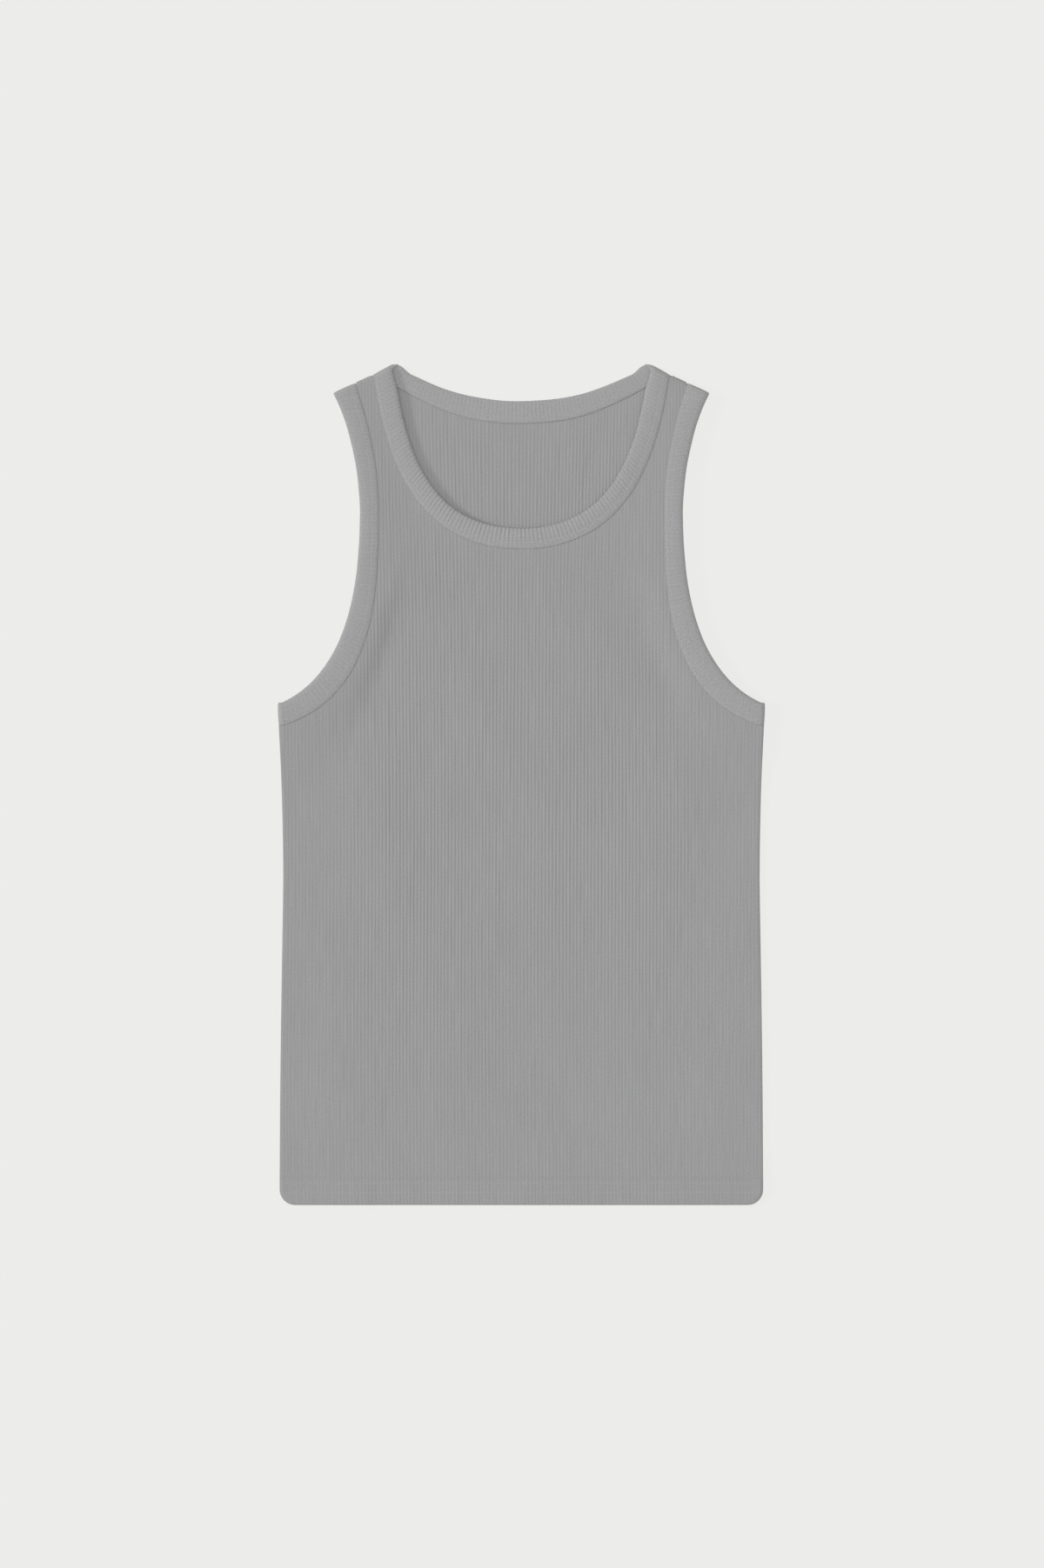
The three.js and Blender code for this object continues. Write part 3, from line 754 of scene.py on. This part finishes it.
# Neck binding. A strip of the same rib knit with its ribs across it, folded in half over the
# raw neck edge of both panels and sewn down with two needles. It is one ring: round the front,
# over the shoulder's fold, round the back, and over the other shoulder.
BINDING_RIB = 0.0032
STEPS_PER_BINDING_RIB = 6
BINDING_RELIEF = 0.00040
FOLD_STEPS = 20
STACK_TOP = garment_high[2] - RIB_HEIGHT
STACK_HALF = {"front": STACK_TOP - MIDDLE, "back": MIDDLE}
NEEDLE_ROWS = (0.0013, 0.0045)

# The folded strip in section. A corner belongs to the outer or the inner leg, and its rise
# counts from that leg's face that shows. It lies so far from the folded edge, or inwards from
# the seam, or at a share of the way across. The last number is the rib's share there.
SECTION = [
    ("outer", "seam", -0.0008, -0.00117, 0.0),
    ("outer", "seam", -0.0009, -0.00109, 0.1),
    ("outer", "seam", -0.0005, -0.00095, 0.2),
    ("outer", "seam", 0.0004, -0.00072, 0.3),
    ("outer", "seam", 0.0013, -0.00058, 0.3),
    ("outer", "seam", 0.0022, -0.00034, 0.4),
    ("outer", "seam", 0.0035, -0.00020, 0.4),
    ("outer", "seam", 0.0045, -0.00028, 0.4),
    ("outer", "seam", 0.0056, -0.00006, 0.9),
    ("outer", "share", 0.4800, 0.00002, 1.0),
    ("outer", "edge", 0.0050, -0.00003, 1.0),
    ("outer", "edge", 0.0032, -0.00014, 1.0),
    ("outer", "edge", 0.0018, -0.00046, 1.0),
    ("outer", "edge", 0.0009, -0.00096, 1.0),
    ("outer", "edge", 0.0003, -0.00170, 0.8),
    ("outer", "edge", 0.0000, -0.00262, 0.5),
    ("inner", "edge", 0.0003, 0.00080, 0.5),
    ("inner", "edge", 0.0009, 0.00042, 0.8),
    ("inner", "edge", 0.0018, 0.00018, 1.0),
    ("inner", "edge", 0.0032, 0.00006, 1.0),
    ("inner", "edge", 0.0050, 0.00000, 1.0),
    ("inner", "share", 0.4800, 0.00000, 1.0),
    ("inner", "seam", 0.0056, 0.00002, 0.9),
    ("inner", "seam", 0.0045, 0.00012, 0.4),
    ("inner", "seam", 0.0035, 0.00005, 0.4),
    ("inner", "seam", 0.0022, 0.00005, 0.4),
    ("inner", "seam", 0.0013, 0.00020, 0.3),
    ("inner", "seam", 0.0004, 0.00036, 0.3),
    ("inner", "seam", -0.0004, 0.00058, 0.1),
    ("inner", "seam", -0.0006, 0.00076, 0.0),
    ("inner", "seam", -0.0003, 0.00092, 0.0),
    ("inner", "seam", 0.0008, 0.00100, 0.0),
    ("inner", "edge", 0.0034, 0.00100, 0.0),
    ("inner", "edge", 0.0024, 0.00190, 0.0),
    ("outer", "edge", 0.0034, -0.00100, 0.0),
    ("outer", "seam", 0.0014, -0.00106, 0.0),
]


def flipped(rule):
    return lambda t: rule(1 - t)


def away_from_garment(edge, seam):
    along = (seam - edge).normalized()
    normal = Vector((-along.y, along.x))
    return normal if normal.dot(edge + seam) > 0 else -normal


# Over a fold the edge goes from its swing in front to its swing behind within one stretch of
# the turn, on a slight curve, and its tip stands out past the shoulder.
TIP_STANDS = 0.52
SWING_START = 0.18
SWING_RUN = 0.5
SWING_CURVE = 0.12


def ring_stations(sides, tip):
    """Along a ring of binding: its ruling lines with their stack, turn and place in the length.

    Towards a fold the front's edge swings outwards by a share of tip, and the back's edge
    swings inwards by the whole of it.
    """
    stations = []
    travelled = 0.0
    for rule, face in sides:
        length = even_steps(rule, 1)[1]
        steps, _ = even_steps(rule, round(length / BINDING_RIB) * STEPS_PER_BINDING_RIB)
        other = "back" if face == "front" else "front"
        for n, t in enumerate(steps):
            place = length * n / (len(steps) - 1)
            near = smooth(1 - min(place, length - place) / TIP_RUN[face])
            edge, seam = rule(t)
            swung = (edge - seam).normalized() * (1.0 if face == "back" else -FRONT_SWING)
            if face == "back":
                swung += away_from_garment(edge, seam) * TIP_STANDS
            edge = edge + swung * near * tip
            stations.append({"edge": edge, "seam": seam, "half": STACK_HALF[face], "angle": 0.0,
                             "face": face, "at": travelled + place})
        travelled += length
        edge, seam = rule(1)
        arc = math.pi * (STACK_HALF["front"] + STACK_HALF["back"]) / 2
        for turn in range(1, FOLD_STEPS):
            share = turn / FOLD_STEPS
            behind = share if face == "front" else 1 - share
            swing = smooth((behind - SWING_START) / SWING_RUN)
            reach = mix(-FRONT_SWING, 1, swing) + SWING_CURVE * math.sin(math.pi * share)
            swung = (edge - seam).normalized() * reach
            swung += away_from_garment(edge, seam) * TIP_STANDS * swing
            stations.append({"edge": edge + swung * tip, "seam": seam,
                             "half": mix(STACK_HALF[face], STACK_HALF[other], share),
                             "angle": math.pi * share, "face": face,
                             "at": travelled + arc * share})
        travelled += arc
    return stations, travelled


def binding_strength(place, face, around_neck):
    """Ribs are drawn up round the scoop, and pulled nearly flat where the strip is stretched."""
    if not around_neck:
        above_underarm = smooth((place.y - 0.140) / 0.060)
        near_shoulder = smooth((place.y - 0.270) / 0.05)
        return 0.09 + 0.70 * above_underarm * (1 - 0.5 * near_shoulder)
    if face == "back":
        return 0.15 + 0.33 * math.exp(-(place.x / 0.045) ** 2)
    return 0.60 + 0.50 * smooth((0.300 - place.y) / 0.060)


# How unevenly a strip's ribs slant and swell, how far they scallop its folded edge, and how far
# the strip strays. Over a fold its outer leg is drawn square, and a sunk edge stands out less.
BINDING_SLANT = 0.9
BINDING_SWELL = 0.6
SCALLOP = 0.00022
SCALLOP_REACH = 0.001
STRAY = 0.0003
FOLD_SQUARE = 0.6
SUNK_SHARE = 0.55
SUNK_REACH = 0.005
MERGE_DISTANCE = 1e-7


def binding_ring(name, sides, tip, mirror=False, sunk=False):
    """A closed ring of folded binding, and a function that gives any corner of any station."""
    stations, length = ring_stations(sides, tip)
    count, corners = len(stations), len(SECTION)
    rib_size = length / round(length / BINDING_RIB)

    def corner_place(i, k):
        station, (leg, measure, value, rise, share) = stations[i % count], SECTION[k % corners]
        edge, seam = station["edge"], station["seam"]
        width = (edge - seam).length
        across = {"edge": value / width, "seam": 1 - value / width, "share": value}[measure]
        skew = BINDING_SLANT * noise.noise(Vector((station["at"] * 11, 0.0, length * 40)))
        phase = station["at"] / rib_size + skew * across
        own = noise.noise(Vector((math.floor(phase) * 2.3, across * 1.5, length * 30)))
        strength = binding_strength(edge, station["face"], sunk)
        relief = BINDING_RELIEF * share * (1 + BINDING_SWELL * own) * strength
        crest = rib_profile(phase)
        turn = station["angle"]
        # Ribs stand out of the front's outer leg, and sink into the legs that lie on something.
        outside = leg == "outer"
        under = turn / math.pi if station["face"] == "front" else 1 - turn / math.pi
        height = station["half"] if outside else AIR / 2
        height += rise + relief * (crest - under if outside else 1 - crest)
        plan = edge.lerp(seam, across)
        inwards = (seam - edge).normalized()
        if measure == "edge" and value < SCALLOP_REACH:
            plan = plan - inwards * crest * share * SCALLOP
        if turn > 0:
            # The strip is drawn out evenly there, so its contour over the fold is nearly straight.
            even = outside and not (sunk and measure == "edge")
            square = FOLD_SQUARE * (station["half"] - height) if even else 0.0
            out = (height + square) * math.sin(turn) * FOLD_BULGE
            if sunk and measure == "edge":
                out *= mix(SUNK_SHARE, 1, smooth(value / SUNK_REACH))
            plan = plan + away_from_garment(edge, seam) * out
        plan = plan + inwards * STRAY * noise.noise(Vector((plan.x * 40, plan.y * 40, 5.1)))
        sign = 1 if station["face"] == "front" else -1
        z = MIDDLE + sign * height * math.cos(turn)
        if sunk and station["face"] == "front":
            z -= front_drop(plan.y)
        return Vector((-plan.x if mirror else plan.x, plan.y, z)), phase * rib_size, across * width

    bm = bmesh.new()
    bmesh.ops.create_grid(bm, x_segments=count, y_segments=corners, size=0.5)
    cloth_map = bm.loops.layers.uv.new("cloth")
    places = {}
    for v in bm.verts:
        i, k = round((v.co.x + 0.5) * count), round((v.co.y + 0.5) * corners)
        places[v] = (i, *corner_place(i, k))
    for f in bm.faces:
        first = any(places[loop.vert][0] == count for loop in f.loops)
        for loop in f.loops:
            i, _, along, across = places[loop.vert]
            # The last stretch runs on past the first station, where the length starts again.
            loop[cloth_map].uv = (along + (length if first and i == count else 0.0), across)
    for v, (_, point, _, _) in places.items():
        v.co = point
    bmesh.ops.remove_doubles(bm, verts=bm.verts[:], dist=MERGE_DISTANCE)
    bmesh.ops.recalc_face_normals(bm, faces=bm.faces[:])
    piece = linked(name, bm)
    piece.data.shade_smooth()
    return piece, length, stations, lambda i, k: corner_place(i, k)[0]


def thread_material():
    """Spun cotton thread, a little lighter than the cloth, with its twist as fine bars."""
    material = bpy.data.materials.new("sewing thread")
    material.use_nodes = True
    nodes, links = material.node_tree.nodes, material.node_tree.links
    shader = nodes["Principled BSDF"]
    shader.inputs["Roughness"].default_value = 0.7
    shader.inputs["Sheen Weight"].default_value = 0.2
    place = nodes.new("ShaderNodeTexCoord")
    twist = nodes.new("ShaderNodeTexNoise")
    twist.inputs["Scale"].default_value = 2600
    twist.inputs["Detail"].default_value = 1
    links.new(place.outputs["Object"], twist.inputs["Vector"])
    ramp = nodes.new("ShaderNodeValToRGB")
    ramp.color_ramp.elements[0].position = 0.3
    ramp.color_ramp.elements[0].color = (0.36, 0.36, 0.36, 1)
    ramp.color_ramp.elements[1].position = 0.7
    ramp.color_ramp.elements[1].color = (0.54, 0.54, 0.535, 1)
    links.new(twist.outputs["Fac"], ramp.inputs["Fac"])
    links.new(ramp.outputs["Color"], shader.inputs["Base Color"])
    return material


thread = thread_material()

# A thread has this many sides, and these shares of its thickness along each stitch.
THREAD_SIDES = 6
STITCH_SHAPE = (0.1, 0.75, 1.0, 1.0, 0.75, 0.1)


def sewn_row(bm, points, thick):
    """One thread that comes up through the cloth, covers a few steps, and goes down again."""
    count = len(points) - 1
    grid = bmesh.ops.create_grid(bm, x_segments=count, y_segments=THREAD_SIDES, size=0.5)
    for v in grid["verts"]:
        i, k = round((v.co.x + 0.5) * count), round((v.co.y + 0.5) * THREAD_SIDES)
        along = (points[min(i + 1, count)] - points[max(i - 1, 0)]).normalized()
        across = Vector((-along.y, along.x, 0)).normalized()
        radius = thick / 2 * (STITCH_SHAPE[i % len(STITCH_SHAPE)] if 0 < i < count else 0)
        turn = 2 * math.pi * k / THREAD_SIDES
        offset = across * math.cos(turn) + along.cross(across) * math.sin(turn)
        v.co = points[i] + offset * radius


def sewn(name, bm):
    """The rows of one seam, as a piece of thread."""
    bmesh.ops.remove_doubles(bm, verts=bm.verts[:], dist=MERGE_DISTANCE)
    bmesh.ops.recalc_face_normals(bm, faces=bm.faces[:])
    piece = linked(name, bm)
    piece.data.shade_smooth()
    piece.data.materials.append(thread)
    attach(piece, "root")
    return piece


def needle_rows(name, stations, corner_at, faces):
    """Both needles' rows on one ring, on the legs that show on the front or the back stretch."""
    bm = bmesh.new()
    for face, leg, thick in faces:
        run = [i for i, s in enumerate(stations) if s["face"] == face and s["angle"] == 0]
        for row in NEEDLE_ROWS:
            k = [c[:3] for c in SECTION].index((leg, "seam", row))
            sewn_row(bm, [corner_at(i, k) for i in run], thick)
    return sewn(name, bm)


BINDING_GREY = (0.376, 0.376, 0.377)
# The binding's knit, with a little painted shade in its rib valleys.
BINDING_YARN = {"Rib": BINDING_RIB, "Painted valley shade": 0.025, "Streak": 0.04, "Yarn": 0.08, "Heather": 0.68}
BINDING_STITCH_RELIEF = 0.00012
binding_knit = knit_material("binding rib knit", BINDING_GREY, BINDING_YARN, BINDING_STITCH_RELIEF)

neck_sides = [(neck_front, "front"), (flipped(neck_back), "back")]
neck_binding, neck_length, neck_stations, neck_corner = binding_ring(
    "neck_binding_cloth", neck_sides, NECK_TIP, sunk=True)
neck_binding.data.materials.append(binding_knit)
neck_stitches = needle_rows("neck_binding_stitches", neck_stations, neck_corner,
                            (("front", "outer", 0.00060), ("back", "inner", 0.00036),
                             ("back", "outer", 0.00040)))
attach(neck_binding, "root")
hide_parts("neck_binding")


# Armhole bindings. The same strip round each armhole, a little narrower: down the front from
# the shoulder's fold, over the fold at the underarm and back up, with the same two rows.
for side, mirror in (("right", False), ("left", True)):
    arm_sides = [(armhole, "front"), (flipped(armhole), "back")]
    arm_binding, arm_length, arm_stations, arm_corner = binding_ring(
        side + "_armhole_binding_cloth", arm_sides, 0.0, mirror)
    arm_binding.data.materials.append(binding_knit)
    arm_stitches = needle_rows(side + "_armhole_stitches", arm_stations, arm_corner,
                               (("front", "outer", 0.00040), ("back", "outer", 0.00040)))
    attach(arm_binding, "root")
    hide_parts(side + "_armhole_binding")


# Hem stitches. Two needles sew the turned-up hem of each panel, and their rows show on its
# outer face: on top of the front, and underneath the back.
STITCH_STEP = 0.00055
HEM_THREAD = 0.00040
HEM_ROW_INSET = 0.0015

bm = bmesh.new()
for row in HEM_ROWS:
    reach = half_width(HEM_Y + row) - HEM_ROW_INSET
    count = round(2 * reach / STITCH_STEP)
    line = [(mix(-reach, reach, i / count), HEM_Y + row) for i in range(count + 1)]
    above = [Vector((x, y, panel_height(x, y, "front", True))) for x, y in line]
    sewn_row(bm, above, HEM_THREAD)
    # Underneath, no thread goes below the floor.
    lowest = HEM_THREAD / 2
    below = [Vector((x, y, max(panel_height(x, y, "back", False), lowest))) for x, y in line]
    sewn_row(bm, below, HEM_THREAD)
sewn("hem_stitches", bm)


# Floor, light and camera. A pale studio floor under an even white sky, with a broad softbox
# overhead and a lamp low on the left. The camera looks straight down, with the photograph's frame.
PHOTO_PIXEL = 0.000724
PHOTO_SIZE = (1200, 1803)
PHOTO_CENTRE = (0.0005, 0.0007)
CAMERA_HEIGHT = 3.2
FOCUS_HEIGHT = 0.005
SENSOR = 0.036
FLOOR_HALF = 40
FLOOR_DROP = 0.0002
FLOOR_GLOW = 0.747
SKY_STRENGTH = 0.33

# Each lamp's strength, the degrees that it fills, and the way to it.
LAMPS = (("overhead softbox", 1.40, 28, (0, 0, 1)),
         ("side lamp", 1.25, 9, (-1.0, 0.14, 0.45)))

bm = bmesh.new()
bmesh.ops.create_grid(bm, x_segments=1, y_segments=1, size=FLOOR_HALF)
bmesh.ops.translate(bm, vec=(0, 0, -FLOOR_DROP), verts=bm.verts[:])
floor = linked("floor", bm)
floor_paint = bpy.data.materials.new("floor paint")
floor_paint.use_nodes = True
floor_shader = floor_paint.node_tree.nodes["Principled BSDF"]
floor_shader.inputs["Base Color"].default_value = (0.10, 0.10, 0.098, 1)
floor_shader.inputs["Emission Color"].default_value = (1, 1, 0.982, 1)
floor_shader.inputs["Emission Strength"].default_value = FLOOR_GLOW
floor_shader.inputs["Roughness"].default_value = 1.0
floor_shader.inputs["Specular IOR Level"].default_value = 0.0
floor.data.materials.append(floor_paint)

world = bpy.data.worlds.new("studio")
world.use_nodes = True
sky = world.node_tree.nodes["Background"]
sky.inputs["Color"].default_value = (1, 1, 1, 1)
sky.inputs["Strength"].default_value = SKY_STRENGTH
bpy.context.scene.world = world

for name, strength, spread, source in LAMPS:
    lamp_data = bpy.data.lights.new(name, "SUN")
    lamp_data.energy = strength
    lamp_data.angle = math.radians(spread)
    lamp = bpy.data.objects.new(name, lamp_data)
    bpy.context.scene.collection.objects.link(lamp)
    lamp.rotation_euler = Vector(source).to_track_quat("Z", "Y").to_euler()

camera_data = bpy.data.cameras.new("camera")
camera_data.sensor_fit = "VERTICAL"
camera_data.sensor_height = SENSOR * 1000
camera_data.lens = SENSOR * 1000 * CAMERA_HEIGHT / (PHOTO_SIZE[1] * PHOTO_PIXEL)
camera = bpy.data.objects.new("camera", camera_data)
bpy.context.scene.collection.objects.link(camera)
camera.location = (*PHOTO_CENTRE, CAMERA_HEIGHT + FOCUS_HEIGHT)
bpy.context.scene.camera = camera
bpy.context.scene.view_settings.view_transform = "Standard"
